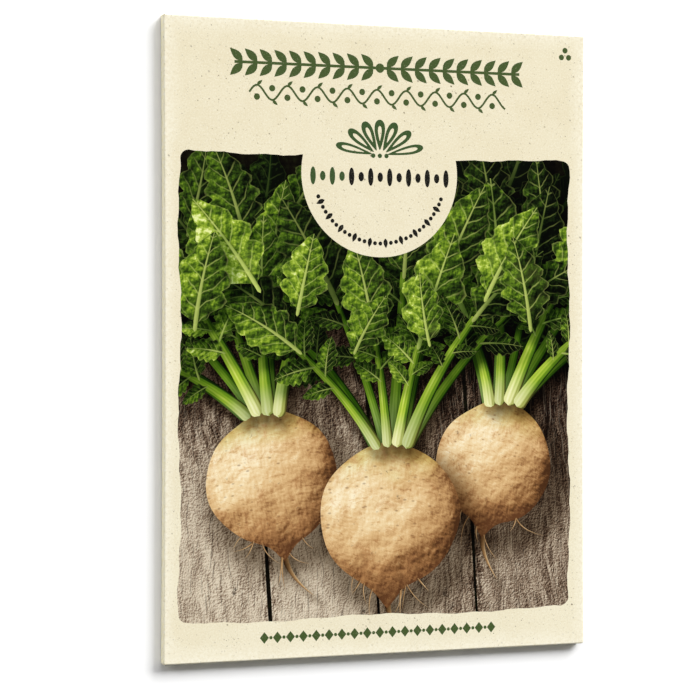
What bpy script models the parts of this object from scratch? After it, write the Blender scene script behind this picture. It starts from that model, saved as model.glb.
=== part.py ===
"""A paper seed packet lying on its back: a folded and glued envelope, an inner sachet and the seeds.

Units are metres. +Z comes out of the packet's front, +Y points to its top and +X across it. The
origin is in the plane that the packet rests on, under the middle of its front panel.
"""

import math
import random
from dataclasses import dataclass

import bmesh
import bpy
from mathutils import Matrix, Vector

MM = 0.001


@dataclass
class PacketSize:
    """The driving sizes of a packet that is folded from one sheet."""

    width: float
    height: float
    depth: float
    paper: float
    crease_radius: float
    layer_gap: float
    crown: float
    end_flap: float
    seam_flap: float


# The envelope
ENVELOPE = PacketSize(
    width=120.0 * MM,
    height=165.0 * MM,
    depth=3.0 * MM,
    paper=0.20 * MM,
    crease_radius=0.30 * MM,
    layer_gap=0.30 * MM,
    crown=0.35 * MM,
    end_flap=17.0 * MM,
    seam_flap=12.0 * MM,
)

# The inner sachet, folded the same way from thinner paper, and where its middle lies
SACHET = PacketSize(
    width=68.0 * MM,
    height=92.0 * MM,
    depth=1.70 * MM,
    paper=0.12 * MM,
    crease_radius=0.18 * MM,
    layer_gap=0.12 * MM,
    crown=0.15 * MM,
    end_flap=11.0 * MM,
    seam_flap=8.0 * MM,
)
SACHET_X = -8.0 * MM
SACHET_Y = -6.0 * MM
SACHET_CLEARANCE = 0.20 * MM

# How the sheets are cut
BACK_CLEARANCE = 1.2 * MM
FLAP_TAPER = 0.055

# The adhesive between the envelope's layers
GLUE_THICKNESS = 0.10 * MM
GLUE_WIDTH = 7.0 * MM
GLUE_END_MARGIN = 8.0 * MM
GLUE_CORNER = 2.5 * MM

# The seeds, one loose layer in the sachet's lower end
SEED_LENGTH = 1.60 * MM
SEED_BREADTH = 1.40 * MM
SEED_HEIGHT = 0.95 * MM
SEED_SPACING = 1.22 * MM
SEED_JITTER = 0.06 * MM
SEED_PATCH_LENGTH = 14.0 * MM
SEED_PATCH_BREADTH = 8.0 * MM
SEED_PATCH_Y = -34.0 * MM
SEED_CLEARANCE = 0.12 * MM
SEED_DRAW = 7

# Mesh fineness
CREASE_STEPS = 3
PANEL_CELL = 12.0 * MM
CORNER_STEPS = 4
ROUNDING = 1e-9


def clear_scene():
    for item in list(bpy.data.objects):
        bpy.data.objects.remove(item, do_unlink=True)


def make_material(name, colour, roughness):
    material = bpy.data.materials.new(name)
    material.use_nodes = True
    shader = material.node_tree.nodes["Principled BSDF"]
    shader.inputs["Base Color"].default_value = (*colour, 1.0)
    shader.inputs["Roughness"].default_value = roughness
    shader.inputs["Metallic"].default_value = 0.0
    material.diffuse_color = (*colour, 1.0)
    return material


def add_object(name, mesh, material):
    piece = bpy.data.objects.new(name, mesh)
    mesh.materials.append(material)
    bpy.context.scene.collection.objects.link(piece)
    return piece


def even_steps(start, end, cell):
    """The places from start to end, both included, no further apart than a cell."""
    count = max(1, math.ceil(abs(end - start) / cell))
    return [start + (end - start) * i / count for i in range(count + 1)]


class EdgeFold:
    """One edge of a panel: a crease down into a narrow wall, and a crease back under the panel.

    The developed distance runs from the panel's middle, over the creases, to the flap's free edge.
    """

    def __init__(self, size, half, top, low, flap):
        self.radius = size.crease_radius
        self.flat = half - size.paper / 2 - self.radius
        self.arc = self.radius * math.pi / 2
        self.wall = top - low - 2 * self.radius
        self.top = top
        self.low = low
        self.flap_start = self.flat + 2 * self.arc + self.wall
        self.end = self.flap_start + flap

    def stations(self):
        """Developed distances past the panel's flat part: creases, wall and flap."""
        arc_steps = [self.arc * i / CREASE_STEPS for i in range(1, CREASE_STEPS + 1)]
        second = self.flat + self.arc + self.wall
        run = [self.flat + s for s in arc_steps]
        run += [second]
        run += [second + s for s in arc_steps]
        run += even_steps(self.flap_start, self.end, PANEL_CELL)[1:]
        return run

    def place(self, distance):
        """Where a developed distance lands: across the panel, and its height."""
        past = distance - self.flat
        if past <= 0:
            return distance, self.top
        if past <= self.arc:
            turn = past / self.radius
            return self.flat + self.radius * math.sin(turn), self.top - self.radius * (1 - math.cos(turn))
        past -= self.arc
        if past <= self.wall:
            return self.flat + self.radius, self.top - self.radius - past
        past -= self.wall
        if past <= self.arc:
            turn = past / self.radius
            return self.flat + self.radius * math.cos(turn), self.low + self.radius * (1 - math.sin(turn))
        return self.flat - (past - self.arc), self.low


def folded_packet(name, material, size):
    """One sheet folded into a packet: the front, four walls, the back, a seam flap and two end flaps.

    The end flaps are the lowest layer, the back lies on them, and the seam flap is inside the back.
    The sheet's notches leave a narrow slit at each corner, as a folded packet has.
    """
    front_z = size.depth - size.paper / 2
    end_z = size.paper / 2
    back_z = end_z + size.paper + size.layer_gap
    seam_z = back_z + size.paper + size.layer_gap
    back_reach = size.width - 2 * (size.crease_radius + size.paper) - BACK_CLEARANCE
    left = EdgeFold(size, size.width / 2, front_z, back_z, back_reach)
    right = EdgeFold(size, size.width / 2, front_z, seam_z, size.seam_flap)
    end = EdgeFold(size, size.height / 2, front_z, end_z, size.end_flap)

    panel_x = even_steps(-left.flat, left.flat, PANEL_CELL)
    panel_y = even_steps(-end.flat, end.flat, PANEL_CELL)
    past_end = end.stations()
    across = [-s for s in reversed(left.stations())] + panel_x + right.stations()
    along = [-s for s in reversed(past_end)] + panel_y + past_end

    def point(u, v):
        if abs(u) > left.flat + ROUNDING:
            fold = left if u < 0 else right
            x, z = fold.place(abs(u))
            return Vector((math.copysign(1, u) * x, v, z))
        if abs(v) > end.flat + ROUNDING:
            y, z = end.place(abs(v))
            past_crease = max(0.0, abs(v) - end.flap_start)
            taper = 1 - FLAP_TAPER * past_crease / size.end_flap
            return Vector((u * taper, math.copysign(1, v) * y, z))
        lift = size.crown * (1 - (u / left.flat) ** 2) * (1 - (v / end.flat) ** 2)
        return Vector((u, v, front_z + lift))

    mesh = bpy.data.meshes.new(name)
    grid = bmesh.new()
    corners = {}

    def vertex(i, j):
        if (i, j) not in corners:
            corners[i, j] = grid.verts.new(point(across[i], along[j]))
        return corners[i, j]

    for i in range(len(across) - 1):
        for j in range(len(along) - 1):
            beyond_x = abs(across[i] + across[i + 1]) / 2 > left.flat
            beyond_y = abs(along[j] + along[j + 1]) / 2 > end.flat
            if beyond_x and beyond_y:
                continue
            grid.faces.new([vertex(i, j), vertex(i + 1, j), vertex(i + 1, j + 1), vertex(i, j + 1)])
    grid.to_mesh(mesh)
    grid.free()

    packet = add_object(name, mesh, material)
    sheet = packet.modifiers.new("paper thickness", "SOLIDIFY")
    sheet.thickness = size.paper
    sheet.offset = 0.0
    sheet.use_even_offset = True
    mesh.shade_smooth()
    mesh.set_sharp_from_angle(angle=math.radians(40))
    return packet


def glue_strip(name, material, centre, length):
    """A flat bead of adhesive with rounded corners."""
    mesh = bpy.data.meshes.new(name)
    bead = bmesh.new()
    reach_x = length / 2 - GLUE_CORNER
    reach_y = GLUE_WIDTH / 2 - GLUE_CORNER
    rim = []
    for quarter, (sx, sy) in enumerate(((1, 1), (-1, 1), (-1, -1), (1, -1))):
        for step in range(CORNER_STEPS + 1):
            turn = math.pi / 2 * (quarter + step / CORNER_STEPS)
            x = sx * reach_x + GLUE_CORNER * math.cos(turn)
            y = sy * reach_y + GLUE_CORNER * math.sin(turn)
            rim.append(bead.verts.new((x, y, -GLUE_THICKNESS / 2)))
    base = bead.faces.new(rim)
    raised = bmesh.ops.extrude_face_region(bead, geom=[base])
    lifted = [item for item in raised["geom"] if isinstance(item, bmesh.types.BMVert)]
    bmesh.ops.translate(bead, verts=lifted, vec=(0, 0, GLUE_THICKNESS))
    bmesh.ops.recalc_face_normals(bead, faces=bead.faces)
    bead.to_mesh(mesh)
    bead.free()
    strip = add_object(name, mesh, material)
    strip.location = centre
    return strip


def seed_places():
    """Seeds on a loosened triangular lattice inside an oval patch, so each touches its neighbours."""
    draw = random.Random(SEED_DRAW)
    row_step = SEED_SPACING * math.sqrt(3) / 2
    rows = int(SEED_PATCH_BREADTH / 2 / row_step)
    columns = int(SEED_PATCH_LENGTH / 2 / SEED_SPACING) + 1
    places = []
    for row in range(-rows, rows + 1):
        for column in range(-columns, columns + 1):
            x = (column + 0.5 * (row % 2)) * SEED_SPACING
            y = row * row_step
            if (2 * x / SEED_PATCH_LENGTH) ** 2 + (2 * y / SEED_PATCH_BREADTH) ** 2 > 1:
                continue
            x += draw.uniform(-SEED_JITTER, SEED_JITTER)
            y += draw.uniform(-SEED_JITTER, SEED_JITTER)
            places.append((x, y, draw.uniform(0, math.pi)))
    return places


def seed_heap(name, material, centre):
    """One body: every seed is a small ovoid that is fused with those beside it."""
    heap = bpy.data.collections.new("loose seeds")
    bpy.context.scene.collection.children.link(heap)
    scale = Matrix.Diagonal((SEED_LENGTH / 2, SEED_BREADTH / 2, SEED_HEIGHT / 2, 1))
    loose = []
    for x, y, turn in seed_places():
        mesh = bpy.data.meshes.new("seed")
        ovoid = bmesh.new()
        placed = Matrix.Translation((x, y, 0)) @ Matrix.Rotation(turn, 4, "Z") @ scale
        bmesh.ops.create_icosphere(ovoid, subdivisions=1, radius=1.0, matrix=placed)
        ovoid.to_mesh(mesh)
        ovoid.free()
        loose.append(bpy.data.objects.new("seed", mesh))
    first = loose.pop(0)
    first.name = name
    first.data.materials.append(material)
    bpy.context.scene.collection.objects.link(first)
    for seed in loose:
        heap.objects.link(seed)
    union = first.modifiers.new("fused seeds", "BOOLEAN")
    union.operation = "UNION"
    union.operand_type = "COLLECTION"
    union.collection = heap
    union.solver = "EXACT"
    bpy.context.view_layer.update()
    fused = bpy.data.meshes.new_from_object(first.evaluated_get(bpy.context.evaluated_depsgraph_get()))
    first.modifiers.clear()
    first.data = fused
    for seed in loose:
        bpy.data.objects.remove(seed, do_unlink=True)
    bpy.data.collections.remove(heap)
    first.location = centre
    return first


def main():
    clear_scene()
    cream = make_material("uncoated cream paper", (0.88, 0.80, 0.59), 0.80)
    glassine = make_material("thin white paper", (0.86, 0.85, 0.80), 0.55)
    adhesive = make_material("dried adhesive", (0.80, 0.76, 0.62), 0.35)
    seed_brown = make_material("brown seed", (0.23, 0.15, 0.08), 0.75)

    folded_packet("envelope", cream, ENVELOPE)

    end_glue_z = ENVELOPE.paper + ENVELOPE.layer_gap / 2
    seam_glue_z = 2 * ENVELOPE.paper + 1.5 * ENVELOPE.layer_gap
    end_glue_y = ENVELOPE.height / 2 - ENVELOPE.end_flap + GLUE_WIDTH / 2
    seam_glue_x = ENVELOPE.width / 2 - ENVELOPE.seam_flap + GLUE_WIDTH / 2
    across = ENVELOPE.width - 2 * GLUE_END_MARGIN
    along = ENVELOPE.height - 2 * GLUE_END_MARGIN
    glue_strip("bottom_flap_glue", adhesive, (0, -end_glue_y, end_glue_z), across)
    glue_strip("top_flap_glue", adhesive, (0, end_glue_y, end_glue_z), across)
    seam = glue_strip("side_seam_glue", adhesive, (seam_glue_x, 0, seam_glue_z), along)
    seam.rotation_euler = (0, 0, math.pi / 2)

    sachet_z = 2 * ENVELOPE.paper + ENVELOPE.layer_gap + SACHET_CLEARANCE
    sachet = folded_packet("inner_sachet", glassine, SACHET)
    sachet.location = (SACHET_X, SACHET_Y, sachet_z)

    seed_floor = sachet_z + 2 * SACHET.paper + SACHET.layer_gap + SEED_CLEARANCE
    seed_heap("seeds", seed_brown, (SACHET_X, SEED_PATCH_Y, seed_floor + SEED_HEIGHT / 2))


main()
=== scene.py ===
"""The looks of a paper seed packet: its folded and printed sheet, what it holds, and the studio.

The print is drawn as flat shapes on the unfolded sheet. The shapes cut the sheet's own mesh, so
each face knows which ink it carries, and the sheet is then folded round the frame's envelope.
Sheet measures are in millimetres until they are folded.
"""

import random
from functools import partialmethod
from math import atan, copysign, cos, degrees, exp, pi, radians, sin, sqrt, tau

import bpy
import numpy as np
from mathutils import Euler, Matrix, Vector
from mathutils.geometry import delaunay_2d_cdt


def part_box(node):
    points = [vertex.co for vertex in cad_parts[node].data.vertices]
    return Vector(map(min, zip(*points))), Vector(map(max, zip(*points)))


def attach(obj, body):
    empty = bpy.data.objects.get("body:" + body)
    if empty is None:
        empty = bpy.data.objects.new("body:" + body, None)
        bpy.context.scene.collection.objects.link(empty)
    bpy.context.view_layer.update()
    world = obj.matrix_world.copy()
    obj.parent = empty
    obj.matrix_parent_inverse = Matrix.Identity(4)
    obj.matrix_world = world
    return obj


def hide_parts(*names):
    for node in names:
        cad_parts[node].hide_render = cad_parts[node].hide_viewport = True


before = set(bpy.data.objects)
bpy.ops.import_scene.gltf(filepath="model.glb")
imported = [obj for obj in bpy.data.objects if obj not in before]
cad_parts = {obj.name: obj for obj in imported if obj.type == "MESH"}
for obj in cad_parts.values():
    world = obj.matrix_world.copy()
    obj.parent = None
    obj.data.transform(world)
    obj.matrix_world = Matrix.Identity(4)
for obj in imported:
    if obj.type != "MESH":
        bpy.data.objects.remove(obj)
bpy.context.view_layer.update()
scene = bpy.context.scene

MM = 0.001

# The folded sheet, as the frame's envelope has it
ENVELOPE_LOW, ENVELOPE_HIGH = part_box("envelope")
WIDTH = (ENVELOPE_HIGH.x - ENVELOPE_LOW.x) / MM
HEIGHT = (ENVELOPE_HIGH.y - ENVELOPE_LOW.y) / MM
CROWN = 0.35
DEPTH = (ENVELOPE_HIGH.z - ENVELOPE_LOW.z) / MM - CROWN
PAPER = 0.2
CREASE_RADIUS = 0.3
LAYER_GAP = 0.3
END_FLAP = 17
SEAM_FLAP = 12
BACK_CLEARANCE = 1.2
WAIST = 0.005
FLAP_TAPER = 0.055
CREASE_STEPS = 5
CREASE_WEAR_WIDTH = 0.45
ROUNDING = 1e-6

# How finely the sheet is filled with points, inside the picture and elsewhere
PICTURE_CELL = 1.25
PLAIN_CELL = 5

# The picture panel on the front, and the plain disc that hangs into its upper edge
PANEL_LEFT, PANEL_RIGHT = -56, 55.5
PANEL_LOW, PANEL_TOP = -72.3, 48
PANEL_CORNER = 2.4
DISC = (-0.4, 43.4)
DISC_RADII = (22.3, 21.8)

# The ornaments on the plain paper
ROW_MIDDLE = -0.4
BAND_Y = 71.2
VINE_Y = 63.6
CORNER_MARK = (54.2, 77)
EMBLEM = np.array((-0.5, 48.3))
PIP_Y = 42.6
FOOT_Y = -76.8

# What stands for a shape's number where there is none, in the picture and on plain paper
BARE_PICTURE, BARE_PAPER = -2, -1

# Light in the picture falls from its upper left
PICTURE_LIGHT = Vector((-0.45, 0.55, 0.7)).normalized()
SHADOW_SHIFT = np.array((1.3, -1.9))

# The camera: its turn to the packet's left, its place over the front, and its angle of view
VIEW_TURN = radians(-22.64)
VIEW_PITCH = radians(-0.177)
VIEW_PLACE = Vector((-257.8, -0.7, 596.8))
FOCAL_PIXELS = 2477.3
PHOTO_PIXELS = 700
SENSOR = 36
NEAREST, FARTHEST = 0.01, 20

# Level softboxes over the floor: their low and high corners in units of their height, and their
# shares of all the light on the floor. The rest is an even fill.
SOFTBOX_HEIGHT = 9
FLOOR_LIGHT = 1.13
SOFTBOXES = {
    "key": ((0.48, 0.65), (2.05, 2.4), 0.6),
    "back": ((-0.48, 0.6), (0.3, 2.05), 0.19),
    "side": ((-2.1, 0.3), (-1.3, 1.5), 0.11),
}
FILL_SHARE = 0.1
FLOOR_REACH = 3.0


def srgb(red, green, blue):
    """A display colour from 0 to 255, as the linear colour that shaders take."""
    levels = (red / 255, green / 255, blue / 255)
    return (*(c / 12.92 if c <= 0.04045 else ((c + 0.055) / 1.055) ** 2.4 for c in levels), 1)


class Value:
    """What a shader node gives out. Reckoning with it makes more nodes."""

    def __init__(self, graph, socket):
        self.graph = graph
        self.node = graph.node
        self.socket = socket

    def beside(self, output):
        return Value(self.graph, self.socket.node.outputs[output])

    def math(self, operation, *others):
        return self.node("Math", dict(enumerate((self, *others))), operation=operation)

    __add__ = partialmethod(math, "ADD")
    __sub__ = partialmethod(math, "SUBTRACT")
    __mul__ = partialmethod(math, "MULTIPLY")
    __pow__ = partialmethod(math, "POWER")
    __gt__ = partialmethod(math, "GREATER_THAN")
    __abs__ = partialmethod(math, "ABSOLUTE")

    def fit(self, low, high, to_low=0, to_high=1):
        """A smooth step from low..high to to_low..to_high, held at both ends."""
        inputs = dict(enumerate((self, low, high, to_low, to_high)))
        return self.node("MapRange", inputs, interpolation_type="SMOOTHSTEP")

    def split(self):
        x = self.node("SeparateXYZ", {0: self})
        return x, x.beside(1), x.beside(2)

    def stretch(self, x, y, z=1):
        return self.node("VectorMath", {0: self, 1: (x, y, z)}, operation="MULTIPLY")

    def shift(self, x, y):
        return self.node("VectorMath", {0: self, 1: (x, y, 0)}, operation="ADD")

    def turn(self, angle):
        return self.node("Mapping", {"Vector": self, "Rotation": (0, 0, radians(angle))})

    def noise(self, scale, detail=2, roughness=0.5, distortion=0):
        inputs = {"Vector": self, "Scale": scale, "Detail": detail, "Roughness": roughness,
                  "Distortion": distortion}
        return self.node("TexNoise", inputs)

    def cells(self, scale):
        """How far each point is from its cell's middle."""
        return self.node("TexVoronoi", {"Vector": self, "Scale": scale})

    def spots(self, scale, outer, inner, rarity):
        """Soft dots in the cells with a random number over the rarity, and a second number."""
        cell = self.cells(scale)
        chance, second, _ = cell.beside("Color").split()
        return cell.fit(outer, inner) * (chance > rarity), second

    def relief(self, scale, step, detail, roughness):
        """The sides of small bumps, light or dark: how the noise changes over a step."""
        beside = self.shift(*step).noise(scale, detail, roughness)
        return self.noise(scale, detail, roughness) - beside

    def ramp(self, *stops):
        """A colour for each level. A stop is its level and its display colour."""
        made = self.node("ValToRGB", {0: self})
        elements = made.socket.node.color_ramp.elements
        while len(elements) < len(stops):
            elements.new(1)
        for element, (level, *colour) in zip(elements, stops):
            element.position = level
            element.color = srgb(*colour)
        return made


class Graph:
    """A material and its nodes. They take values, plain numbers and colours."""

    def __init__(self, name):
        self.material = bpy.data.materials.new(name)
        self.material.use_nodes = True
        self.tree = self.material.node_tree

    def feed(self, socket, value):
        if isinstance(value, Value):
            self.tree.links.new(value.socket, socket)
        else:
            socket.default_value = value

    def node(self, kind, inputs, output=0, **settings):
        made = self.tree.nodes.new("ShaderNode" + kind)
        for key, value in settings.items():
            setattr(made, key, value)
        for key, value in inputs.items():
            self.feed(made.inputs[key], value)
        return Value(self, made.outputs[output])

    def number(self, name):
        return self.node("Attribute", {}, "Fac", attribute_name=name)

    def vector(self, name):
        return self.node("Attribute", {}, "Vector", attribute_name=name)

    def object_place(self):
        return self.node("TexCoord", {}, "Object")

    def join(self, x, y, z):
        return self.node("CombineXYZ", {0: x, 1: y, 2: z})

    def mix(self, factor, a, b, blend="MIX"):
        return self.node("Mix", {0: factor, 6: a, 7: b}, 2, data_type="RGBA", blend_type=blend)

    def tint(self, colour, by):
        return self.mix(1, colour, by, "MULTIPLY")

    def finish(self, colour, roughness, gloss, bump=None, strength=0.2, depth=0.02 * MM):
        sockets = self.tree.nodes["Principled BSDF"].inputs
        self.feed(sockets["Base Color"], colour)
        self.feed(sockets["Roughness"], roughness)
        self.feed(sockets["Specular IOR Level"], gloss)
        if bump is not None:
            inputs = {"Strength": strength, "Distance": depth, "Height": bump}
            self.feed(sockets["Normal"], self.node("Bump", inputs))
        return self.material


WHITE = srgb(255, 255, 255)
PAPER_CREAM = srgb(232, 224, 197)
PAPER_WARM = srgb(221, 209, 176)
PAPER_WORN = srgb(246, 241, 222)
# Painted light: the narrow walls are tinted lighter and yellower to make up for the light they miss
PAPER_WALL_PAINTED_LIGHT = srgb(250, 241, 196)
PAPER_FLECK = srgb(112, 98, 74)
PAPER_FIBRE = srgb(196, 184, 150)
OLIVE = srgb(70, 88, 46)
DEEP_GREEN = srgb(60, 84, 46)
NEAR_BLACK = srgb(22, 21, 18)
KNOT = srgb(24, 13, 9)

PAPER_GLOSS = 0.12
INK_GLOSS = 0.05
PICTURE_GLOSS = 0.02

# How fast red, green and blue fade in the picture's shadows, on wood and roots and on leaves
BROWN_SHADOW = (1, 1.1, 1.22)
GREEN_SHADOW = (1.22, 1, 1.3)

# Fleck layers: cells to the millimetre, size in a cell, share of cells left bare, strength
FLECKS = ((0.4, 0.17, 0.6, 1), (0.95, 0.24, 0.58, 0.95), (2, 0.32, 0.66, 0.65))

# Layers of long fibres: their angle and cells to the millimetre
FIBRES = ((28, 0.35), (-52, 0.28))

# How far the noise moves on with the tone, so that no two leaves, boards or roots match
LEAF_SPREAD, BOARD_SPREAD, ROOT_SPREAD = 90, 40, 25


def paper_height(g):
    """The sheet's fine surface: felted fibres and a faint unevenness."""
    sheet = g.vector("sheet")
    strands = sheet.turn(24).stretch(0.9, 5.5).noise(1, 3, 0.6)
    return sheet.noise(3.2, 4, 0.65) + strands * 0.6


def paper_colour(g):
    """Cream stock: faint cloudiness, painted shade towards the top, painted light on the walls,
    flecks that gather in drifts, a few darker fibres.
    """
    sheet = g.vector("sheet")
    height = sheet.split()[1]
    cloud = sheet.noise(0.09, 3, 0.55)
    # Cloudy mottling, and painted shade that darkens the sheet towards its top
    mottle_and_top_shade = cloud.fit(0.38, 0.68, 0, 0.3) + height.fit(-70, 80, 0, 0.3)
    colour = g.mix(mottle_and_top_shade, PAPER_CREAM, PAPER_WARM)
    grain = sheet.noise(2.3, 4, 0.8)
    colour = g.mix(grain.fit(0.5, 0.7, 0, 0.92), colour, PAPER_WARM)
    colour = g.mix(grain.fit(0.5, 0.32, 0, 0.66), colour, PAPER_WORN)
    # Painted light: the narrow walls are tinted lighter and yellower than the front
    colour = g.mix(g.number("wall") * 0.85, colour, PAPER_WALL_PAINTED_LIGHT)

    drift = sheet.shift(31, 7).noise(0.13, 3, 0.6).fit(0.4, 0.62, 0.3, 1)
    for scale, size, rarity, strength in FLECKS:
        dots, chance = sheet.turn(40).stretch(1, 1.35).spots(scale, size, size * 0.4, rarity)
        darkness = chance.fit(0, 1, 0.15, 1) * strength
        colour = g.mix(dots * (drift * darkness), colour, PAPER_FLECK)

    for angle, scale in FIBRES:
        hairs, _ = sheet.turn(angle).stretch(0.5, 4.5).spots(scale, 0.16, 0.06, 0.86)
        colour = g.mix(hairs * 0.5, colour, PAPER_FIBRE)

    rubbed = g.number("wear") * sheet.noise(1.1, 3).fit(0.35, 0.65, 0.25, 0.9)
    return g.mix(rubbed, colour, PAPER_WORN)


def plain_paper():
    g = Graph("cream_paper")
    return g.finish(paper_colour(g), 0.82, PAPER_GLOSS, paper_height(g), 0.25)


def inside_paper():
    g = Graph("paper_inside")
    grain = g.vector("sheet").noise(1.4, 3, 0.6)
    colour = g.mix(grain, srgb(240, 236, 222), srgb(226, 220, 202))
    return g.finish(colour, 0.85, PAPER_GLOSS, paper_height(g), 0.3)


def flat_ink(name, colour):
    """One solid ink: a little uneven, with specks where the paper's fibres show through."""
    g = Graph(name)
    sheet = g.vector("sheet")
    cover = sheet.noise(2.6, 4, 0.7).fit(0.28, 0.46, 0.8, 1)
    uneven = g.mix(sheet.noise(0.8, 2), colour, srgb(0, 0, 0))
    inked = g.mix(0.16, colour, uneven)
    return g.finish(g.mix(cover, paper_colour(g), inked), 0.66, INK_GLOSS, paper_height(g), 0.2)


def picture_surface(g, colour, shadow=BROWN_SHADOW):
    """The finish that all of the printed picture shares, with its drawn shadows."""
    shade = g.number("shade")
    lit = g.tint(colour, g.join(*(shade ** depth for depth in shadow)))
    return g.finish(lit, 0.55, PICTURE_GLOSS, paper_height(g), 0.15)


def bulge(off_middle, least):
    """How far a round thing stands out, for the square of how far off its middle a place is."""
    return (off_middle * -1 + 1).math("MAXIMUM", least).math("SQRT")


def board_print():
    """Weathered wood: streaks, blotches, grain, cracks, chips and knots, dark under the leaves."""
    g = Graph("print_boards")
    across, along, margin = g.vector("local").split()
    side, height, _ = g.vector("sheet").split()
    tone = g.number("tone")
    seat = g.join(across, along, tone * BOARD_SPREAD)
    sway = (seat.stretch(0.05, 0.03).noise(1, 2) - 0.5) * 9
    bent = g.join(across + sway, along, tone * BOARD_SPREAD)

    broad = bent.stretch(0.2, 0.035).noise(1, 4, 0.62)
    streaks = bent.stretch(1, 0.09).noise(1, 4, 0.7)
    level = broad * 0.46 + streaks * 0.46 + (tone - 0.17) * 0.3
    level += height.fit(6, -60, -0.32, 0.22) + side.fit(-8, 46, 0.07, -0.27)
    blotch = bent.stretch(0.42, 0.15).noise(1, 5, 0.78)
    level += blotch.fit(0.43, 0.57, -0.24, 0.24) * height.fit(14, -46, 1, 0.42)
    level += abs(margin).fit(0.78, 1, 0, -0.22) * blotch.fit(0.58, 0.44)
    grain = bent.stretch(1.8, 1.6).relief(1, (-0.2, 0.22), 4, 0.75)
    level += grain.fit(-0.15, 0.15, -0.34, 0.34)
    wood = level.ramp((0.06, 18, 9, 5), (0.3, 62, 42, 31), (0.52, 120, 97, 78),
                      (0.74, 172, 154, 131), (0.98, 218, 205, 182))

    ridges = bent.stretch(0.9, 0.09).relief(1, (-0.2, 0.01), 3, 0.65)
    wood = g.mix(ridges.fit(0.02, 0.14, 0, 0.28), wood, srgb(206, 194, 172))
    wood = g.mix(ridges.fit(-0.02, -0.14, 0, 0.5), wood, KNOT)
    cracks = bent.stretch(0.75, 0.04).noise(1, 6, 0.8)
    wood = g.mix(cracks.fit(0.37, 0.31, 0, 0.92), wood, srgb(10, 5, 3))
    chips, _ = bent.turn(12).stretch(0.3, 0.16).spots(1, 0.24, 0.12, 0.6)
    rough = bent.noise(1.3, 4, 0.8).fit(0.42, 0.56, 0, 0.85)
    wood = g.mix(chips * rough, wood, srgb(34, 20, 14))
    knots, _ = bent.stretch(0.075, 0.036).spots(1, 0.17, 0.08, 0.52)
    wood = g.mix(knots * 0.9, wood, KNOT)
    under_leaves = g.mix(height.fit(14, -34), srgb(88, 64, 54), WHITE)
    return picture_surface(g, g.tint(wood, under_leaves))


def gap_print():
    """The near-black between boards and under the leaves."""
    g = Graph("print_gaps")
    depth = g.vector("sheet").noise(0.5, 4, 0.7)
    return picture_surface(g, depth.ramp((0.35, 5, 3, 2), (0.55, 15, 12, 5), (0.75, 24, 30, 10)))


def leaf_print():
    """A leaf blade: pale midrib and side veins, puckers between them, ruffled and lit margins."""
    g = Graph("print_leaves")
    across, along, rim = g.vector("local").split()
    sheet = g.vector("sheet")
    tone = g.number("tone")
    off_rib, off_rim = abs(across), abs(rim)
    own = g.join(across * 1.6, along * 3.2, tone * LEAF_SPREAD)
    waver = (own.noise(1.2, 2) - 0.5) * 0.9

    phase = (along * 7 - off_rib * 2 + waver).math("FRACT")
    vein = abs(phase - 0.5).fit(0.085, 0.02) * off_rim.fit(1, 0.35, 0, 0.85)
    past_rib = off_rib - along.fit(0, 1, 0.072, 0.01)

    level = tone + across.fit(-0.25, 0.25, 0.09, -0.11) + along.fit(0, 0.35, -0.14, 0)
    level += sheet.split()[0].fit(-6, 52, 0.02, -0.15)
    level += (phase * tau).math("SINE") * 0.06
    level += sheet.relief(0.3, (-0.5, 0.6), 3, 0.6) * 1.25
    level += sheet.relief(1.1, (-0.3, 0.35), 2, 0.6) * 0.42
    level += (own.cells(7) - 0.4) * 0.1
    level += (along * 30 + waver * 9).math("SINE") * off_rim.fit(0.3, 1, 0, 0.12)
    blade = level.ramp((0.06, 4, 7, 2), (0.26, 20, 32, 8), (0.46, 48, 72, 16), (0.64, 90, 120, 28),
                       (0.8, 140, 166, 46), (0.93, 186, 204, 92), (1, 224, 232, 156))

    sheen = own.noise(0.9, 2).fit(0.52, 0.74) * tone.fit(0.4, 0.8, 0, 0.16)
    blade = g.mix(sheen, blade, srgb(176, 196, 88))
    blade = g.mix(past_rib.fit(0.1, 0) * 0.5, blade, srgb(10, 28, 6))
    pale = g.mix(tone.fit(0, 0.7), srgb(46, 62, 22), srgb(196, 210, 112))
    blade = g.mix(vein * 0.5, blade, pale)
    rounded = g.mix(across.fit(-0.03, 0.08, 0, 0.55), pale, g.tint(pale, srgb(120, 150, 70)))
    blade = g.mix(past_rib.fit(0.015, -0.015) * 0.8, blade, rounded)
    blade = g.mix(off_rim.fit(0.9, 0.99) * 0.2, blade, pale)
    return picture_surface(g, blade, GREEN_SHADOW)


def stalk_print():
    """A ribbed stalk: cream at its foot, green above, rounded across."""
    g = Graph("print_stalks")
    _, along, rim = g.vector("local").split()
    tone = g.number("tone")
    streak = g.join(rim * 2.4, along * 3, tone * LEAF_SPREAD).noise(1, 3, 0.6)
    level = rim * -0.34 + bulge(rim * rim, 0) * 0.62
    level += (rim * 12).math("SINE") * 0.085 + (streak - 0.5) * 0.5
    green = level.ramp((0, 22, 44, 8), (0.28, 80, 118, 24), (0.52, 140, 174, 42),
                       (0.78, 192, 208, 78), (1, 230, 234, 150))
    foot = level.ramp((0, 92, 84, 36), (0.32, 170, 172, 88), (0.6, 222, 222, 156),
                      (1, 252, 248, 214))
    colour = g.mix(along.fit(0.02, 0.36), foot, green)
    darker = g.tint(colour, srgb(120, 160, 96))
    return picture_surface(g, g.mix(tone.fit(0.7, 0.15, 0, 0.9), colour, darker), GREEN_SHADOW)


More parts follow.
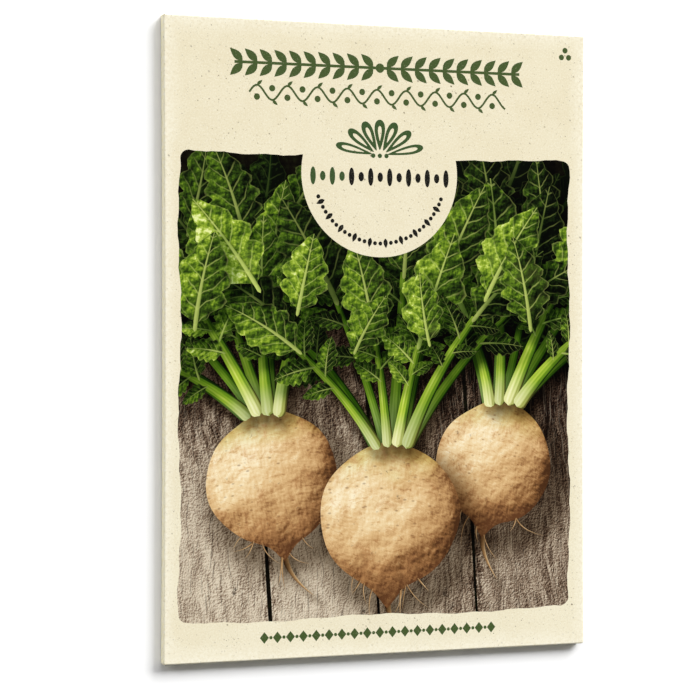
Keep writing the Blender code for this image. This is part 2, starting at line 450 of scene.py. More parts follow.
def root_print():
    """A round pale root: lit like a ball, ringed, with a green shoulder and a rough tan foot."""
    g = Graph("print_roots")
    x, y, _ = g.vector("local").split()
    place = g.join(x, y, g.number("tone") * ROOT_SPREAD)
    z = bulge(x * x + y * y, 0.015)
    ball = x * PICTURE_LIGHT.x + y * PICTURE_LIGHT.y + z * PICTURE_LIGHT.z

    lumps = place.relief(1.5, (-0.12, 0.14), 2, 0.5)
    skin = place.relief(9, (-0.025, 0.03), 4, 0.72)
    wobble = place.stretch(1, 2.5).noise(2.2, 3) * 0.55
    turns = (y.math("ARCTAN2", z.math("MAXIMUM", 0.1)) + wobble) * 7
    broken = place.stretch(2, 9).noise(1.6, 3, 0.7).fit(0.46, 0.62)
    rings = abs(turns.math("FRACT") - 0.5).fit(0.13, 0.02) * broken
    level = ball * 0.6 + 0.24 + lumps * 0.9 + skin * 0.75 + rings * -0.1
    flesh = level.ramp((0, 70, 42, 22), (0.2, 132, 90, 52), (0.4, 188, 146, 96),
                       (0.6, 216, 180, 128), (0.8, 233, 208, 162), (0.96, 244, 230, 196))

    shoulder = (y + (place.noise(2, 3) - 0.5) * 0.7).fit(0.42, 0.95)
    flesh = g.mix(shoulder * 0.62, flesh, g.tint(flesh, srgb(206, 214, 128)))
    earthy = ball * 0.5 + 0.28 + skin * 1.5 + lumps * 0.8
    tan = earthy.ramp((0, 100, 62, 36), (0.45, 168, 120, 74), (0.9, 218, 174, 120))
    foot = place.noise(3.2, 4, 0.75, 0.5) + y.fit(-0.3, -1, 0, 0.24)
    flesh = g.mix(foot.fit(0.52, 0.7, 0, 0.75), flesh, tan)
    flesh = g.mix(rings * 0.5, flesh, tan)
    pores, _ = place.stretch(8, 15).spots(1, 0.3, 0.1, 0.66)
    flesh = g.mix(pores * 0.55, flesh, srgb(122, 80, 46))
    soil = place.noise(9, 4, 0.78) + y.fit(-0.2, -1, 0, 0.08)
    flesh = g.mix(soil.fit(0.62, 0.72, 0, 0.6), flesh, srgb(92, 60, 34))
    return picture_surface(g, flesh)


def rootlet_print():
    g = Graph("print_rootlets")
    _, along, rim = g.vector("local").split()
    knots = g.vector("sheet").noise(1.4, 3, 0.7)
    level = rim * -0.34 + 0.26 + knots * 0.4 + along.fit(0.45, 0, 0, -0.26)
    return picture_surface(g, level.ramp((0, 70, 44, 24), (0.5, 184, 144, 96), (1, 244, 222, 178)))


SHEET_MATERIALS = {
    "paper": plain_paper,
    "inside": inside_paper,
    "olive": lambda: flat_ink("olive_ink", OLIVE),
    "green": lambda: flat_ink("green_ink", DEEP_GREEN),
    "dark": lambda: flat_ink("dark_ink", NEAR_BLACK),
    "gap": gap_print,
    "board": board_print,
    "leaf": leaf_print,
    "stalk": stalk_print,
    "root": root_print,
    "rootlet": rootlet_print,
}


def way(turn):
    """One step in the direction of an angle."""
    return np.array((cos(turn), sin(turn)))


def axes(heading):
    """The ways forward and to the right for a heading in degrees."""
    forward = way(radians(heading))
    return forward, np.array((forward[1], -forward[0]))


def waves(t, *parts):
    """A sum of sine waves, each with its height, rate and start."""
    return sum(height * sin(rate * t + start) for height, rate, start in parts)


class Shape:
    """A flat printed shape: its outline on the sheet, its ink, and whether it is in the picture."""

    casts = 0
    softness = 1

    def __init__(self, ink, outline, pictured=False, tone=0.5):
        self.ink, self.outline, self.pictured, self.tone = ink, outline, pictured, tone

    def local(self, points):
        """Where points lie in the shape's own drawing: two places, and how near the margin."""
        return np.column_stack((points, np.zeros(len(points))))


class Strip(Shape):
    """A shape along an axis that may bend: a leaf, a stalk, a rootlet or a board.

    Its own places are across, in half widths, along, 0 to 1, and -1 to 1 between the margins.
    """

    samples = np.linspace(0, 1, 65)

    def __init__(self, ink, base, heading, length, half_width, profile, bend=0, tone=0.5, casts=0,
                 softness=1, steps=24):
        self.base = np.array(base, float)
        self.heading = heading
        self.forward, self.right = axes(heading)
        self.length, self.half_width, self.bend = length, half_width, bend
        self.casts, self.softness = casts, softness
        self.margins = [[max(profile(t, side), 0.01) for t in self.samples] for side in (1, -1)]
        along = [i / steps for i in range(steps + 1)]
        outline = [self.spot(profile(t, 1), t) for t in along]
        outline += [self.spot(-profile(t, -1), t) for t in reversed(along)]
        super().__init__(ink, outline, True, tone)

    def spot(self, across, along):
        x = across * self.half_width + self.bend * self.length * along ** 2
        return self.base + x * self.right + along * self.length * self.forward

    def heading_at(self, along):
        return self.heading - degrees(atan(2 * self.bend * along))

    def margin(self, across, along):
        """How far out the margin is on the side of each point."""
        right, left = (np.interp(along, self.samples, margin) for margin in self.margins)
        return np.where(across > 0, right, left)

    def local(self, points):
        offset = points - self.base
        along = offset @ self.forward / self.length
        across = (offset @ self.right - self.bend * self.length * along ** 2) / self.half_width
        return np.column_stack((across, along, across / self.margin(across, along)))

    def distance(self, points):
        """Roughly how far points are outside the shape."""
        across, along, _ = self.local(points).T
        held = np.clip(along, 0, 1)
        beside = (np.abs(across) - self.margin(across, held)) * self.half_width
        return np.hypot(np.maximum(beside, 0), (along - held) * self.length)


class Board(Strip):
    """A strip of wood, whose own places are in millimetres."""

    def local(self, points):
        return super().local(points) * (self.half_width, self.length, 1)


class Root(Shape):
    """A round root seen from its side, with a neck above and a tapering tail below."""

    casts = 0.66
    softness = 3.4
    steps = 96

    def __init__(self, centre, radius, lean, tone):
        self.centre = np.array(centre)
        self.radius = radius
        self.lean = radians(lean)
        turns = [tau * i / self.steps for i in range(self.steps)]
        super().__init__("root", [self.spot(self.reach(turn), turn) for turn in turns], True, tone)

    def reach(self, turn):
        neck = 0.07 * exp(-((turn - pi / 2) / 0.4) ** 2)
        tail = 0.27 * exp(-abs((turn - 1.5 * pi) / 0.15) ** 1.3)
        uneven = waves(turn, (0.016, 3, self.radius), (0.008, 7, 2 * self.radius))
        return 1 + 0.04 * cos(2 * turn) + neck + tail + uneven

    def spot(self, reach, turn):
        return self.centre + self.radius * reach * way(turn + self.lean)

    def local(self, points):
        forward, right = axes(degrees(self.lean))
        offset = (points - self.centre) / self.radius
        return np.column_stack((offset @ forward, -(offset @ right), np.zeros(len(points))))

    def distance(self, points):
        return np.maximum(np.hypot(*(points - self.centre).T) - self.radius, 0)


def leaflet(foot, heading, length, width, sides):
    """An outline on a heading from its foot: shares of the length, and of half the width."""
    forward, right = axes(heading)
    return [foot + forward * (t * length) + right * (w * width / 2) for t, w in sides]


def lens(foot, heading, length, width, steps=6):
    """A leaf shape pointed at both ends."""
    side = [(i / steps, sin(pi * (i / steps) ** 0.8)) for i in range(steps + 1)]
    return leaflet(foot, heading, length, width, side + [(t, -w) for t, w in side[-2:0:-1]])


def petal(foot, heading, length, width, steps=14):
    """A rounded petal: narrow at its foot, broad and round at its end."""
    ends = [(1 - cos(pi * i / steps)) / 2 for i in range(2 * steps)]
    sides = [(t, sin(pi * i / steps) * (0.25 + 0.75 * t)) for i, t in enumerate(ends)]
    return leaflet(foot, heading, length, width, sides)


def ring(centre, radius_x, radius_y=None, steps=16):
    radii = np.array((radius_x, radius_y or radius_x))
    return [centre + radii * way(tau * i / steps) for i in range(steps)]


def ribbon(centres, width):
    """A band of even width along a line of points."""
    centres = np.array(centres)
    along = np.gradient(centres, axis=0)
    aside = along[:, ::-1] * (-width / 2, width / 2) / np.hypot(*along.T)[:, None]
    return [*(centres - aside), *(centres + aside)[::-1]]


def spaced(count, pitch):
    """Evenly spaced places about the middle of the rows."""
    return [ROW_MIDDLE + pitch * (i - (count - 1) / 2) for i in range(count)]


def title_band():
    """The bold row: a straight stem with pairs of leaves that point away from its middle."""
    yield ribbon([(-41, BAND_Y), (40.4, BAND_Y)], 0.75)
    for side in (-1, 1):
        for i in range(10):
            x = ROW_MIDDLE + side * (1.9 + 4.05 * i)
            for lift in (-1, 1):
                heading = 90 + side * (42 * lift - 90)
                yield lens((x, BAND_Y + 0.35 * lift), heading, 4.7, 2.15)
    yield ring((ROW_MIDDLE, BAND_Y), 1.25)


def vine_row():
    """The thin row: a waving stem with a berry in each bay."""
    wave, rise = 8.4, 1.9
    left, right = -37, 36.2
    stem = [(x, VINE_Y + rise * sin(tau * (x - left) / wave)) for x in np.linspace(left, right, 121)]
    yield ribbon(stem, 0.55)
    for i in range(int(2 * (right - left) / wave)):
        x = left + wave / 2 * (i + 0.5)
        side = -1 if i % 2 else 1
        yield ring((x, VINE_Y - side * 1.15), 0.85)
        yield lens((x, VINE_Y + side * rise), 40 * side, 2, 0.9, 4)


def corner_mark():
    """Three dots in the upper right corner."""
    for angle in (90, 210, 330):
        yield ring(CORNER_MARK + 1.25 * way(radians(angle)), 0.78)


def emblem():
    """A shell of rounded petals, longest at its sides, over a row of three dots."""
    for share in np.linspace(-1, 1, 7):
        heading = 90 - 78 * share
        outward = way(radians(heading))
        foot = EMBLEM + outward * (2.2, 1.4)
        length = 8 + 2.6 * share ** 2
        yield Shape("green", petal(foot, heading, length, 4.3 - 0.9 * share ** 2))
        yield Shape("paper", petal(foot + 2.4 * outward, heading, length - 4.1, 1.5))
    for i in (-1, 0, 1):
        yield Shape("green", ring(EMBLEM + (1.9 * i, -0.1), 0.62))


def pip_row():
    """A row of upright pips, tall and short in turn, the first ones green."""
    for i, x in enumerate(spaced(15, 2.72)):
        pip = ring((x, PIP_Y), 0.78, 1.25 if i % 2 else 2.35, 18)
        yield Shape("green" if i < 4 else "dark", pip)


def rim_row():
    """Beads along the disc's lower rim, with a dash after every second one."""
    reach = np.array(DISC_RADII) - 3.6
    for i, angle in enumerate(np.linspace(200, 340, 31)):
        outward = way(radians(angle))
        spot = DISC + reach * outward
        if i % 3 == 1:
            yield Shape("dark", lens(spot - 1.3 * outward, angle, 2.6, 1.25))
        else:
            yield Shape("dark", ring(spot, 0.56, steps=12))


def foot_row():
    """The row under the picture: lozenges with a dot between each two."""
    for x in spaced(19, 3.6):
        yield ring((x, FOOT_Y), 1.25, 1.5, 4)
    for x in spaced(18, 3.6):
        yield ring((x, FOOT_Y), 0.46, steps=10)


def panel_outline():
    """The picture's edge: rounded corners, and sides that wave as if cut by hand."""
    r = PANEL_CORNER
    left, right, low, top = PANEL_LEFT + r, PANEL_RIGHT - r, PANEL_LOW + r, PANEL_TOP - r
    arcs = []
    for k, middle in enumerate(((right, top), (left, top), (left, low), (right, low))):
        arcs.append([middle + r * way(pi / 2 * (k + i / 6)) for i in range(7)])
    points = []
    for arc, following in zip(arcs, arcs[1:] + arcs[:1]):
        begin, goal = arc[-1], following[0]
        steps = int(np.hypot(*(goal - begin)) / 1.6)
        points += arc + [begin + (goal - begin) * (i / steps) for i in range(1, steps)]
    waved = []
    for x, y in points:
        out_x = waves(y, (0.42, 0.13, 1), (0.18, 0.61, 0), (0.07, 2.3, 0))
        out_y = waves(x, (0.38, 0.11, 2), (0.16, 0.53, 0), (0.06, 2.1, 0))
        waved.append((x + out_x if abs(x) > 50 else x, y + out_y if y > 44 or y < -68 else y))
    return waved


BOARD_LEAN = 3.5
BOARD_EDGES = (-64, -33.5, -3, 25.5, 62)
BOARD_TONES = (0.42, 0.62, 0.34, 0.55)
BOARD_GAP = 0.9


def boards():
    """Upright boards behind the roots, a little out of plumb, with dark gaps between them."""
    for i, tone in enumerate(BOARD_TONES):
        left, right = BOARD_EDGES[i] + BOARD_GAP / 2, BOARD_EDGES[i + 1] - BOARD_GAP / 2

        def edge(t, side):
            return 1 - waves(t, (0.01, 9, side + 2 * i), (0.006, 31, 3 * side + i))

        base, half = ((left + right) / 2 + 3, PANEL_LOW - 12), (right - left) / 2
        yield Board("board", base, 90 + BOARD_LEAN, 150, half, edge, tone=tone, steps=70)


def undergrowth():
    """The dark that lies under the leaves, with an uneven lower edge."""
    edge = []
    for x in range(-60, 61, 2):
        dip = 9 * exp(-((abs(x) - 30) / 12) ** 2) + 10 * exp(-(x / 16) ** 2)
        edge.append((x, 12 - dip - waves(x, (2.4, 0.31, 0), (1.5, 0.83, 1))))
    return Shape("gap", edge + [(60, 52), (-60, 52)], True)


LEAF_STEM = 0.1
LEAF_STEM_WIDTH = 0.065


def blade_profile(lobes, depth, phase):
    """A leaf's half width from base to tip: a short stem, then lobes with teeth on them."""
    def profile(t, side):
        if not 0 < t < 1:
            return 0
        stem = LEAF_STEM_WIDTH * min(1, t / 0.03) ** 0.5
        if t < LEAF_STEM:
            return stem
        t = (t - LEAF_STEM) / (1 - LEAF_STEM)
        body = sin(pi * t ** 0.72) ** 0.8
        lobe = abs(sin(pi * lobes * t + phase + 0.9 * side))
        cut = depth * (1.5 - t)
        teeth = 0.05 * abs(sin(pi * 3.3 * lobes * t + 2 * phase))
        return max(stem * (1 - t), body * (1 - cut + cut * lobe - teeth))
    return profile


def stalk_profile(t, side):
    foot = min(t / 0.05, 1)
    return (1 - 0.45 * t) * sqrt(foot * (2 - foot))


def rootlet_profile(t, side):
    return max(0, 1 - t) ** 0.8


def leaf(draw, base, heading, length, tone, bend=0, casts=0.55):
    profile = blade_profile(draw.randint(4, 6), draw.uniform(0.2, 0.34), draw.uniform(0, 3))
    width = length * draw.uniform(0.25, 0.34)
    steps = max(16, int(2.2 * length))
    return Strip("leaf", base, heading, length, width, profile, bend, tone, casts, 1.5, steps)


def placed_leaves(draw, places):
    for x, y, heading, length, tone in places:
        yield leaf(draw, (x, y), heading, length, tone, draw.uniform(-0.15, 0.15))


def leafy_stalk(draw, base, heading, length, blade, bend, tone):
    """A stalk, the small lobes on its upper half, and the blade at its end."""
    width = draw.uniform(1.35, 2.1)
    stalk = Strip("stalk", base, heading, length, width, stalk_profile, bend, tone, 0.55, 1.2, 60)
    yield stalk
    for k in range(4):
        t = 0.6 + 0.11 * k
        side = 1 if k % 2 else -1
        turned = stalk.heading_at(t) - side * draw.uniform(38, 60)
        length = draw.uniform(7, 13)
        yield leaf(draw, stalk.spot(0, t), turned, length, tone - 0.05, side * 0.15, 0.35)
    tone += draw.uniform(-0.06, 0.06)
    yield leaf(draw, stalk.spot(0, 0.96), stalk.heading_at(1), blade, tone, bend * 0.9)


# Each root's centre, radius, lean and tone, and the middle heading of its stalks
ROOT_PLACES = (
    (-30.5, -36, 17.5, 9, 0.2, 106),
    (33, -33, 16.5, -11, 0.55, 76),
    (2.5, -46.5, 19.3, -2, 0.85, 91),
)
# Stalks behind a root and before it: how many, their tone, least and greatest length
STALK_ROWS = ((5, 0.3, 34, 50), (4, 0.52, 22, 40))
FAN = 74
HAIR_ROOTS = 9
DARK_LEAVES = 46
# Base, heading, length and tone of the dim leaves at the back and of the bright ones on top
BACK_LEAVES = (
    (-54, 26, 72, 26, 0.3),
    (-38, 24, 102, 28, 0.36),
    (-27, 30, 58, 22, 0.26),
    (24, 28, 118, 22, 0.28),
    (50, 24, 104, 26, 0.34),
)
FRONT_LEAVES = (
    (-34, 12, 122, 30, 0.72),
    (-24, 6, 78, 22, 0.6),
    (-52, 2, 84, 26, 0.52),
    (30, 10, 64, 30, 0.7),
    (44, 2, 96, 26, 0.55),
    (14, -2, 104, 20, 0.62),
    (-8, -4, 66, 18, 0.5),
)


def hanging_roots(draw, root):
    """The tail below a root's foot, then the hair-fine roots beside it."""
    def strand(turn, inset, swing, length, width, bend, *rest):
        base, heading = root.spot(root.reach(turn) - inset, turn), degrees(turn + root.lean) + swing
        return Strip("rootlet", base, heading, length, width, rootlet_profile, bend, 0.5, *rest)

    length, bend = draw.uniform(12, 17), draw.choice((-1, 1)) * draw.uniform(0.3, 0.6)
    yield strand(1.5 * pi, 0.12, 0, length, 0.95, bend, 0.4, 0.8, 18)
    for _ in range(HAIR_ROOTS):
        turn = pi * (1.5 + draw.uniform(-0.24, 0.24))
        swing, length = draw.uniform(-25, 25), draw.uniform(3, 9)
        width, bend = draw.uniform(0.14, 0.26), draw.uniform(-0.6, 0.6)
        yield strand(turn, 0.02, swing, length, width, bend, 0.2, 0.5, 12)


def picture():
    """Three round roots on boards with leafy tops above them, from back to front."""
    draw = random.Random(11)
    yield from boards()
    yield undergrowth()
    for _ in range(DARK_LEAVES):
        base = (draw.uniform(-60, 58), draw.uniform(-4, 42))
        tone = draw.uniform(0.04, 0.3)
        heading, length, bend = draw.uniform(20, 160), draw.uniform(16, 30), draw.uniform(-0.2, 0.2)
        yield leaf(draw, base, heading, length, tone, bend)
    yield from placed_leaves(draw, BACK_LEAVES)
    for x, y, radius, lean, tone, fan in ROOT_PLACES:
        root = Root((x, y), radius, lean, tone)
        crown = root.spot(0.9, pi / 2)
        rows = []
        for count, bright, least, greatest in STALK_ROWS:
            rows.append([])
            for k in range(count):
                share = (k + 0.5) / count - 0.5
                foot = crown + (10.5 * share, 0.9 * cos(3 * share))
                heading = fan - FAN * share + draw.uniform(-7, 7)
                length = draw.uniform(least, greatest)
                tone = bright + draw.uniform(-0.1, 0.16)
                blade = draw.uniform(22, 34)
                rows[-1] += leafy_stalk(draw, foot, heading, length, blade, share * 0.45, tone)
        behind, before = rows
        tail, *hairs = hanging_roots(draw, root)
        yield from [*behind, tail, root, *hairs, *before]
    yield from placed_leaves(draw, FRONT_LEAVES)


class EdgeFold:
    """One edge of the front: a crease into a narrow wall, and one back under the panel."""

    def __init__(self, half, top, low, flap):
        self.flat = half - PAPER / 2 - CREASE_RADIUS
        self.arc = CREASE_RADIUS * pi / 2
        self.wall = top - low - 2 * CREASE_RADIUS
        self.top, self.low = top, low
        self.second = self.flat + self.arc + self.wall
        self.flap_start = self.second + self.arc
        self.end = self.flap_start + flap

    def creases(self):
        """The developed distances at which the sheet bends."""
        steps = [self.arc * i / CREASE_STEPS for i in range(CREASE_STEPS + 1)]
        return [start + step for start in (self.flat, self.second) for step in steps]

    def off_crease(self, distance):
        """How far a developed distance is from the middle of the nearer crease."""
        past = distance - self.arc / 2
        return np.minimum(abs(past - self.flat), abs(past - self.second))

    def place(self, distance):
        """Across the panel and up for a developed distance, then the way that the outside faces."""
        r = CREASE_RADIUS
        past = distance - self.flat
        if past <= 0:
            return distance, self.top, 0, 1
        if past <= self.arc:
            c, s = way(past / r)
            return self.flat + r * s, self.top - r * (1 - c), s, c
        past -= self.arc
        if past <= self.wall:
            return self.flat + r, self.top - r - past, 1, 0
        past -= self.wall
        if past <= self.arc:
            c, s = way(past / r)
            return self.flat + r * c, self.low + r * (1 - s), c, -s
        return self.flat - (past - self.arc), self.low, 0, -1


FRONT_Z = DEPTH - PAPER / 2
END_Z = PAPER / 2
BACK_Z = END_Z + PAPER + LAYER_GAP
SEAM_Z = BACK_Z + PAPER + LAYER_GAP
BACK_REACH = WIDTH - 2 * (CREASE_RADIUS + PAPER) - BACK_CLEARANCE
LEFT = EdgeFold(WIDTH / 2, FRONT_Z, BACK_Z, BACK_REACH)
RIGHT = EdgeFold(WIDTH / 2, FRONT_Z, SEAM_Z, SEAM_FLAP)
END = EdgeFold(HEIGHT / 2, FRONT_Z, END_Z, END_FLAP)


def folded(u, v):
    """A folded point of the sheet and its normal. The filling draws the long sides in."""
    (x, y, z), normal = creased(u, v)
    return (x * (1 - WAIST * (1 - (2 * y / HEIGHT) ** 2)), y, z), normal


def creased(u, v):
    """A creased point of the sheet's middle surface, and its outward normal."""
    if abs(u) > LEFT.flat + ROUNDING:
        side = copysign(1, u)
        x, z, nx, nz = (LEFT if u < 0 else RIGHT).place(abs(u))
        return (side * x, v, z), (side * nx, 0, nz)
    if abs(v) > END.flat + ROUNDING:
        side = copysign(1, v)
        y, z, ny, nz = END.place(abs(v))
        taper = 1 - FLAP_TAPER * max(0, abs(v) - END.flap_start) / END_FLAP
        return (u * taper, side * y, z), (0, side * ny, nz)
    across, along = u / LEFT.flat, v / END.flat
    lift = CROWN * (1 - across ** 2) * (1 - along ** 2)
    slope = Vector((2 * CROWN * across * (1 - along ** 2) / LEFT.flat,
                    2 * CROWN * along * (1 - across ** 2) / END.flat, 1)).normalized()
    return (u, v, FRONT_Z + lift), tuple(slope)


def clip(outline, *limits):
    """The part of an outline inside the limits, each with its axis and the hand to keep."""
    outline = [np.array(p, float) for p in outline]
    for axis, limit, hand in limits:
        kept = []
        for i, here in enumerate(outline):
            before = outline[i - 1]
            inside, was_inside = hand * (here[axis] - limit) >= 0, hand * (before[axis] - limit) >= 0
            if inside != was_inside:
                share = (limit - before[axis]) / (here[axis] - before[axis])
                kept.append(before + share * (here - before))
            if inside:
                kept.append(here)
        outline = kept
    return outline


class FlatSheet:
    """The unfolded sheet and all that is printed on it, cut into triangles."""

    def __init__(self):
        self.points, self.lines, self.faces, self.shapes = [], [], [], []

    def add_face(self, outline):
        start = len(self.points)
        self.points += outline
        self.faces.append(list(range(start, len(self.points))))

    def add_shape(self, shape):
        outline = shape.outline
        if shape.pictured:
            outline = clip(outline, (0, PANEL_LEFT - 1, 1), (0, PANEL_RIGHT + 1, -1),
                           (1, PANEL_LOW - 1, 1), (1, PANEL_TOP + 1, -1))
        if len(outline) > 2:
            self.add_face(outline)
            self.shapes.append(shape)

    def add_outline(self):
        a, b = LEFT.flat, END.flat
        half = [(-LEFT.end, -b), (-a, -b), (-a, -END.end), (a, -END.end), (a, -b), (RIGHT.end, -b)]
        self.add_face(half + [(x, -y) for x, y in reversed(half)])

    def add_creases(self):
        """Lines of points along every bend, close enough that no face spans two of them."""
        a, b = LEFT.flat, END.flat
        ups = np.linspace(-b, b, int(2 * b / PLAIN_CELL) + 1)
        runs = np.linspace(-a, a, int(2 * a / PLAIN_CELL) + 1)
        lines = [[(u, y) for y in ups] for u in [-s for s in LEFT.creases()] + RIGHT.creases()]
        for side in (-1, 1):
            lines += [[(x, side * s) for x in runs] for s in END.creases()]
        for line in lines:
            start = len(self.points)
            self.points += line
            self.lines += [(start + i, start + i + 1) for i in range(len(line) - 1)]

    def add_filling(self):
        """Loose points, closest together in the picture."""
        for x in np.arange(PANEL_LEFT, PANEL_RIGHT, PICTURE_CELL):
            self.points += [(x, y) for y in np.arange(PANEL_LOW, PANEL_TOP, PICTURE_CELL)]
        for x in np.arange(-LEFT.end, RIGHT.end, PLAIN_CELL):
            for y in np.arange(-END.end, END.end, PLAIN_CELL):
                pictured = PANEL_LEFT - 2 < x < PANEL_RIGHT + 2 and PANEL_LOW - 2 < y < PANEL_TOP + 2
                on_sheet = abs(x) < LEFT.flat - 1 or abs(y) < END.flat - 1
                if on_sheet and not pictured:
                    self.points.append((x, y))

    def triangles(self):
        """Corner places, corner numbers of each triangle, and the topmost shape on each."""
        points = [Vector(p) for p in self.points]
        cut = delaunay_2d_cdt(points, self.lines, self.faces, 1, 1e-4, True)
        places, faces, origins = cut[0], cut[2], cut[5]
        outline, panel, disc, first = 0, 1, 2, 3
        kept, tops = [], []
        for face, origin in zip(faces, origins):
            if outline not in origin:
                continue
            pictured = panel in origin and disc not in origin
            found = [k - first for k in origin if k >= first]
            found = [k for k in found if self.shapes[k].pictured == pictured]
            kept.append(face)
            tops.append(max(found, default=BARE_PICTURE if pictured else BARE_PAPER))
        return np.array([tuple(p) for p in places]), np.array(kept), np.array(tops)


def drawn_shadows(shapes, corners, tops):
    """How much light each triangle corner keeps under the shadows of the shapes above it."""
    shade = np.ones(len(corners))
    for k, shape in enumerate(shapes):
        if shape.casts:
            below = np.flatnonzero((tops < k) & (tops != BARE_PAPER))
            away = shape.distance(corners[below] - SHADOW_SHIFT * (1 + shape.softness) / 2)
            shade[below] *= 1 - shape.casts * np.exp(-(away / (1.4 * shape.softness)) ** 2)
    return np.maximum(shade, 0.03)


def crease_wear(places):
    """How close each point is to a crease, from 0 to 1."""
    u, v = np.abs(places).T
    off_side, off_end = LEFT.off_crease(u), END.off_crease(v)
    off = np.where(v > END.flat, off_end, np.minimum(off_side, off_end))
    return np.exp(-(np.where(u > LEFT.flat, off_side, off) / CREASE_WEAR_WIDTH) ** 2)


def wall_painted_light_mask(places):
    """1 on the sheet's narrow walls and 0 elsewhere, with the change in the creases: where the walls
    are painted lighter, a painted highlight.
    """
    u, v = np.abs(places).T
    second = np.where(places[:, 0] < 0, LEFT.second, RIGHT.second)
    begun = np.maximum(u - LEFT.flat, v - END.flat) / LEFT.arc
    ended = np.maximum(u - second, v - END.second) / LEFT.arc
    return np.clip(begun, 0, 1) - np.clip(ended, 0, 1)


# The baked image: the column beside the front, the patches' heights in it, and the scales
COLUMN = 0.735
INSIDE_ROW, BACK_ROW, TOP_FLAP_ROW, BOTTOM_FLAP_ROW, SEAM_ROW = 0.74, 0.36, 0.31, 0.265, 0.22
FRONT_MARGIN = 0.005
FRONT_SCALE = 0.98 / (HEIGHT + 2 * DEPTH + 2)
INSIDE_SCALE = 0.26 / (LEFT.end + RIGHT.end)
PATCH_SCALE = 0.26 / (WIDTH + 4)
SEAM_SQUEEZE = 0.7


def bake_places(corners, inside):
    """Where a face's corners go on the baked image: the front large, the other patches beside it."""
    u, v = corners.T
    middle_u, middle_v = corners.mean(0)
    scale = PATCH_SCALE
    if inside:
        x, y, row, scale = u + LEFT.end, v + END.end, INSIDE_ROW, INSIDE_SCALE
    elif middle_u < -LEFT.second:
        x, y, row = np.maximum(-u - LEFT.second, 0), v + HEIGHT / 2, BACK_ROW
    elif abs(middle_v) > END.second:
        x, y = u + WIDTH / 2, np.maximum(abs(v) - END.second, 0)
        row = TOP_FLAP_ROW if middle_v > 0 else BOTTOM_FLAP_ROW
    elif middle_u > RIGHT.second:
        x, y, row = SEAM_SQUEEZE * (v + HEIGHT / 2), np.maximum(u - RIGHT.second, 0), SEAM_ROW
    else:
        x = np.clip(u, -LEFT.second, RIGHT.second) + WIDTH / 2 + DEPTH
        y = np.clip(v, -END.second, END.second) + HEIGHT / 2 + DEPTH
        return FRONT_MARGIN + FRONT_SCALE * np.column_stack((x, y))
    return scale * np.column_stack((x, y)) + (COLUMN, row)


def add_object(name, data):
    made = bpy.data.objects.new(name, data)
    scene.collection.objects.link(made)
    return made


def make_envelope():
    flat = FlatSheet()
    flat.add_outline()
    flat.add_face(panel_outline())
    flat.add_face(ring(DISC, *DISC_RADII, 96))
    for outline in (*title_band(), *vine_row(), *corner_mark(), *foot_row()):
        flat.add_shape(Shape("olive", outline))
    for shape in (*emblem(), *pip_row(), *rim_row(), *picture()):
        flat.add_shape(shape)
    flat.add_creases()
    flat.add_filling()
    places, faces, tops = flat.triangles()

    middle, normal = (np.array(part) for part in zip(*(folded(*p) for p in places)))
    count = len(places)
    vertices = np.vstack((middle + normal * PAPER / 2, middle - normal * PAPER / 2)) * MM
    inner = faces[:, ::-1] + count
    directed = {(f[i], f[(i + 1) % 3]) for f in faces for i in range(3)}
    rim = sorted((b, a, a + count, b + count) for a, b in directed if (b, a) not in directed)
    mesh = bpy.data.meshes.new("printed_envelope")
    mesh.from_pydata(vertices.tolist(), [], faces.tolist() + inner.tolist() + rim)

    for make_material in SHEET_MATERIALS.values():
        mesh.materials.append(make_material())
    inks = [shape.ink for shape in flat.shapes] + ["gap", "paper"]
    looks = [inks[k] for k in tops] + ["inside"] * len(inner) + ["paper"] * len(rim)
    numbers = {name: i for i, name in enumerate(SHEET_MATERIALS)}
    mesh.polygons.foreach_set("material_index", [numbers[look] for look in looks])

    corners = places[faces.ravel()]
    corner_tops = np.repeat(tops, 3)
    local = np.zeros((len(mesh.loops), 3))
    tone = np.full(len(mesh.loops), 0.5)
    for k, shape in enumerate(flat.shapes):
        if shape.pictured:
            chosen = np.flatnonzero(corner_tops == k)
            local[chosen] = shape.local(corners[chosen])
            tone[chosen] = shape.tone
    shade = np.ones(len(mesh.loops))
    shade[:len(corners)] = drawn_shadows(flat.shapes, corners, corner_tops)
    # wall marks where the narrow walls get their painted light
    wear, wall = np.tile((crease_wear(places), wall_painted_light_mask(places)), 2)
    sheet = np.pad(np.vstack((places, places)), ((0, 0), (0, 1)))
    for domain, fields in (("CORNER", {"local": local, "shade": shade, "tone": tone}),
                           ("POINT", {"sheet": sheet, "wear": wear, "wall": wall})):
        for name, values in fields.items():
            kind, field = ("FLOAT", "value") if values.ndim == 1 else ("FLOAT_VECTOR", "vector")
            mesh.attributes.new(name, kind, domain).data.foreach_set(field, values.ravel())

    layout = mesh.uv_layers.new(name="OFBake")
    uvs = np.zeros((len(mesh.loops), 2))
    for polygon in mesh.polygons:
        points = [index % count for index in polygon.vertices]
        uvs[polygon.loop_indices] = bake_places(places[points], polygon.index >= len(faces))
    layout.data.foreach_set("uv", uvs.ravel())

    mesh.validate()
    outward = np.vstack((normal, -normal))[[loop.vertex_index for loop in mesh.loops]]
    for polygon in mesh.polygons[-len(rim):]:
        outward[polygon.loop_indices] = polygon.normal
    mesh.normals_split_custom_set(outward.tolist())
    return add_object("printed_envelope", mesh)


def sachet_paper():
    g = Graph("sachet_paper")
    fibres = g.object_place().stretch(900, 260, 900).noise(1, 4, 0.65)
    colour = g.mix(fibres, srgb(238, 236, 226), srgb(222, 218, 204))
    return g.finish(colour, 0.58, 0.3, fibres, 0.2)


def dried_glue():
    g = Graph("dried_adhesive")
    streaks = g.object_place().stretch(120, 1400).noise(1, 3)
    colour = g.mix(streaks, srgb(232, 226, 204), srgb(214, 204, 172))
    return g.finish(colour, 0.36, 0.5, streaks, 0.3)


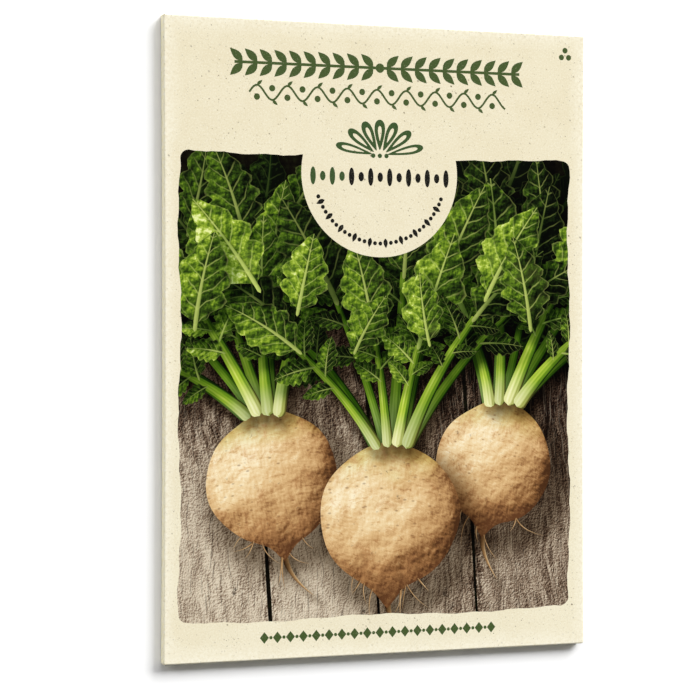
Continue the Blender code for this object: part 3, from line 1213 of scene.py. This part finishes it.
def seed_coat():
    g = Graph("seed_coat")
    mottle = g.object_place().noise(2600, 4, 0.7)
    colour = mottle.ramp((0.3, 74, 52, 32), (0.55, 128, 98, 62), (0.8, 176, 146, 100))
    return g.finish(colour, 0.72, 0.4, mottle, 0.5, 0.05 * MM)


def dress_inner_pieces():
    glue = dried_glue()
    finishes = {"inner_sachet": sachet_paper(), "seeds": seed_coat(), "bottom_flap_glue": glue,
                "top_flap_glue": glue, "side_seam_glue": glue}
    for name, material in finishes.items():
        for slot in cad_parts[name].material_slots:
            slot.material = material


def make_floor():
    mesh = bpy.data.meshes.new("floor")
    r = FLOOR_REACH
    mesh.from_pydata([(-r, -r, 0), (r, -r, 0), (r, r, 0), (-r, r, 0)], [], [(0, 1, 2, 3)])
    mesh.materials.append(Graph("floor_white").finish(WHITE, 0.95, 0))
    floor = add_object("floor", mesh)


def add_softbox(name, low, high, share):
    """A level light that faces straight down and gives its share of the light."""
    light = bpy.data.lights.new(name, "AREA")
    light.shape = "RECTANGLE"
    light.size, light.size_y = (high - low) * SOFTBOX_HEIGHT
    xs, ys = np.meshgrid(*np.linspace(low, high, 40).T)
    nearness = np.mean(1 / (xs ** 2 + ys ** 2 + 1) ** 2)
    light.energy = pi ** 2 * SOFTBOX_HEIGHT ** 2 * FLOOR_LIGHT * share / nearness
    lamp = add_object(name, light)
    lamp.location = (*(low + high) / 2 * SOFTBOX_HEIGHT, SOFTBOX_HEIGHT)
    lamp.visible_camera = False


def make_world():
    """An even fill light, with plain white where the camera looks past the floor."""
    world = bpy.data.worlds.new("studio")
    scene.world = world
    world.use_nodes = True
    tree = world.node_tree
    fill, backdrop = tree.nodes["Background"], tree.nodes.new("ShaderNodeBackground")
    for background, strength in ((fill, FLOOR_LIGHT * FILL_SHARE), (backdrop, 1)):
        background.inputs["Color"].default_value = WHITE
        background.inputs["Strength"].default_value = strength
    seen = tree.nodes.new("ShaderNodeLightPath")
    choose = tree.nodes.new("ShaderNodeMixShader")
    outputs = (seen.outputs["Is Camera Ray"], fill.outputs[0], backdrop.outputs[0])
    for i, output in enumerate(outputs):
        tree.links.new(output, choose.inputs[i])
    tree.links.new(choose.outputs[0], tree.nodes["World Output"].inputs["Surface"])


def make_studio():
    scene.view_settings.view_transform = "Standard"
    make_world()
    for name, (low, high, share) in SOFTBOXES.items():
        add_softbox(name, np.array(low), np.array(high), share)
    make_floor()

    camera = bpy.data.cameras.new("camera")
    camera.sensor_width = SENSOR
    camera.lens = FOCAL_PIXELS / PHOTO_PIXELS * SENSOR
    camera.clip_start, camera.clip_end = NEAREST, FARTHEST
    viewer = add_object("camera", camera)
    viewer.location = (VIEW_PLACE + Vector((0, 0, DEPTH))) * MM
    viewer.rotation_euler = Euler((VIEW_PITCH, VIEW_TURN, 0), "XYZ")
    scene.camera = viewer


make_studio()
dress_inner_pieces()
envelope = make_envelope()
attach(envelope, "root")
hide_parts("envelope")
